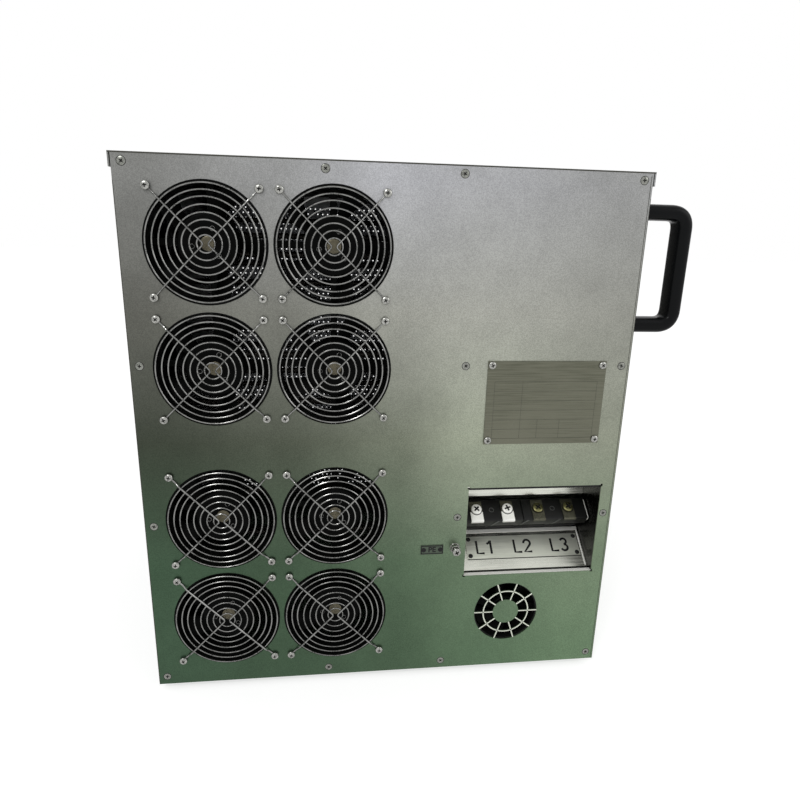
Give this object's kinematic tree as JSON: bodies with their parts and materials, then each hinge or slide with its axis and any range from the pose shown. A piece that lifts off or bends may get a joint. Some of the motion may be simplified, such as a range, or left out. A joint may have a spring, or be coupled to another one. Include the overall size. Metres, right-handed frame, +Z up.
{
  "type": "generator load bank",
  "caption": "Portable forced-air load bank: sheet-steel cabinet with guarded axial fans, a terminal recess, vent and nameplate on one face, controls and bar handles on the side.",
  "frame": {"origin": "bottom centre of the object's bounding box, on the surface it stands on", "axes": "+Z up; -Y out of the fan and terminal face; +X out of the control panel with the handles"},
  "size_m": [0.5924, 0.5174, 0.5965],
  "materials": {
    "cabinet_steel": "satin bead-blasted stainless sheet",
    "zinc_steel": "zinc-plated sheet",
    "bright_sheet": "bright stainless sheet",
    "bright_steel": "bright nickel-plated steel",
    "guard_chrome": "chrome-plated wire",
    "nickel": "nickel-plated brass",
    "tag_metal": "satin metal plate",
    "bronze_plate": "brushed bronze-tinted plate",
    "black_aluminium": "black painted die casting",
    "black_handle": "satin black",
    "black_plastic": "satin black",
    "black_rubber": "matt",
    "grey_plastic": "matt",
    "lamp_lens": "translucent moulded lens",
    "chrome_trim": "satin chrome collar",
    "yellow_plastic": "gloss",
    "red_plastic": "gloss",
    "resistor_steel": "heat-tinted stainless sheath",
    "board_green": "solder-masked laminate"
  },
  "bodies": {
    "cabinet": {"base_tray": "cabinet_steel", "inner_frame": "zinc_steel", "partition": "zinc_steel", "feet": "black_rubber", "top_cover": "cabinet_steel", "fan_panel": "cabinet_steel", "left_side_panel": "cabinet_steel", "control_panel": "cabinet_steel", "outlet_panel": "cabinet_steel", "outlet_grille": "zinc_steel", "panel_screws": "bright_steel", "fan_frames": "black_aluminium", "cooling_fan_frame": "black_plastic", "pan_head_screws": "bright_steel", "terminal_recess": "bright_sheet", "terminal_block": "black_plastic", "terminal_lugs": "nickel", "terminal_screws": "nickel", "phase_plate": "tag_metal", "tag_rivets": "black_plastic", "earth_stud": "bright_steel", "earth_tag": "cabinet_steel", "nameplate": "bronze_plate", "handle_rear": "black_handle", "handle_front": "black_handle", "power_meter": "black_plastic", "pilot_lamps": "lamp_lens", "selector_bases": "chrome_trim", "estop_base": "yellow_plastic", "power_inlet": "black_plastic", "resistor_tubes": "resistor_steel", "resistor_racks": "zinc_steel", "bay_plate": "zinc_steel", "contactors": "grey_plastic", "control_board": "board_green", "fan_guard_1": "guard_chrome", "fan_guard_2": "guard_chrome", "fan_guard_3": "guard_chrome", "fan_guard_4": "guard_chrome", "fan_guard_5": "guard_chrome", "fan_guard_6": "guard_chrome", "fan_guard_7": "guard_chrome", "fan_guard_8": "guard_chrome"},
    "fan_1": {"fan_rotor_1": "black_plastic"},
    "fan_2": {"fan_rotor_2": "black_plastic"},
    "fan_3": {"fan_rotor_3": "black_plastic"},
    "fan_4": {"fan_rotor_4": "black_plastic"},
    "fan_5": {"fan_rotor_5": "black_plastic"},
    "fan_6": {"fan_rotor_6": "black_plastic"},
    "fan_7": {"fan_rotor_7": "black_plastic"},
    "fan_8": {"fan_rotor_8": "black_plastic"},
    "cooling_fan": {"cooling_fan_rotor": "black_plastic"},
    "selector_1": {"selector_knob_1": "black_plastic"},
    "selector_2": {"selector_knob_2": "black_plastic"},
    "selector_3": {"selector_knob_3": "black_plastic"},
    "selector_4": {"selector_knob_4": "black_plastic"},
    "selector_5": {"selector_knob_5": "black_plastic"},
    "estop_plunger": {"estop_stem": "bright_steel"},
    "estop_cap": {"estop_head": "red_plastic"},
    "rocker": {"power_rocker": "red_plastic"}
  },
  "joints": [
    {"name": "fan_spin_1", "type": "hinge", "parent": "cabinet", "child": "fan_1", "pos_m": [-0.21175, -0.2165, 0.51479], "axis": [0, 1, 0], "continuous": true},
    {"name": "fan_spin_2", "type": "hinge", "parent": "cabinet", "child": "fan_2", "pos_m": [-0.08785, -0.2165, 0.51479], "axis": [0, 1, 0], "continuous": true},
    {"name": "fan_spin_3", "type": "hinge", "parent": "cabinet", "child": "fan_3", "pos_m": [-0.21175, -0.2165, 0.3886], "axis": [0, 1, 0], "continuous": true},
    {"name": "fan_spin_4", "type": "hinge", "parent": "cabinet", "child": "fan_4", "pos_m": [-0.08785, -0.2165, 0.3886], "axis": [0, 1, 0], "continuous": true},
    {"name": "fan_spin_5", "type": "hinge", "parent": "cabinet", "child": "fan_5", "pos_m": [-0.21175, -0.2165, 0.21957], "axis": [0, 1, 0], "continuous": true},
    {"name": "fan_spin_6", "type": "hinge", "parent": "cabinet", "child": "fan_6", "pos_m": [-0.08785, -0.2165, 0.21957], "axis": [0, 1, 0], "continuous": true},
    {"name": "fan_spin_7", "type": "hinge", "parent": "cabinet", "child": "fan_7", "pos_m": [-0.21175, -0.2165, 0.09424], "axis": [0, 1, 0], "continuous": true},
    {"name": "fan_spin_8", "type": "hinge", "parent": "cabinet", "child": "fan_8", "pos_m": [-0.08785, -0.2165, 0.09424], "axis": [0, 1, 0], "continuous": true},
    {"name": "cooling_fan_spin", "type": "hinge", "parent": "cabinet", "child": "cooling_fan", "pos_m": [0.11965, -0.2295, 0.0853], "axis": [0, 1, 0], "continuous": true},
    {"name": "selector_turn_1", "type": "hinge", "parent": "cabinet", "child": "selector_1", "pos_m": [0.24325, -0.1115, 0.325], "axis": [-1, 0, 0], "range_deg": [0, 90]},
    {"name": "selector_turn_2", "type": "hinge", "parent": "cabinet", "child": "selector_2", "pos_m": [0.24325, -0.0515, 0.325], "axis": [-1, 0, 0], "range_deg": [0, 90]},
    {"name": "selector_turn_3", "type": "hinge", "parent": "cabinet", "child": "selector_3", "pos_m": [0.24325, 0.0085, 0.325], "axis": [-1, 0, 0], "range_deg": [0, 90]},
    {"name": "selector_turn_4", "type": "hinge", "parent": "cabinet", "child": "selector_4", "pos_m": [0.24325, 0.0685, 0.325], "axis": [-1, 0, 0], "range_deg": [0, 90]},
    {"name": "selector_turn_5", "type": "hinge", "parent": "cabinet", "child": "selector_5", "pos_m": [0.24325, 0.1285, 0.325], "axis": [-1, 0, 0], "range_deg": [0, 90]},
    {"name": "estop_push", "type": "slide", "parent": "cabinet", "child": "estop_plunger", "axis": [-1, 0, 0], "range_m": [0, 0.005]},
    {"name": "estop_twist", "type": "hinge", "parent": "estop_plunger", "child": "estop_cap", "pos_m": [0.24925, 0.1435, 0.497], "axis": [-1, 0, 0], "range_deg": [0, 40]},
    {"name": "rocker_tilt", "type": "hinge", "parent": "cabinet", "child": "rocker", "pos_m": [0.24075, 0.0085, 0.248], "axis": [0, 1, 0], "range_deg": [0, 24]}
  ]
}
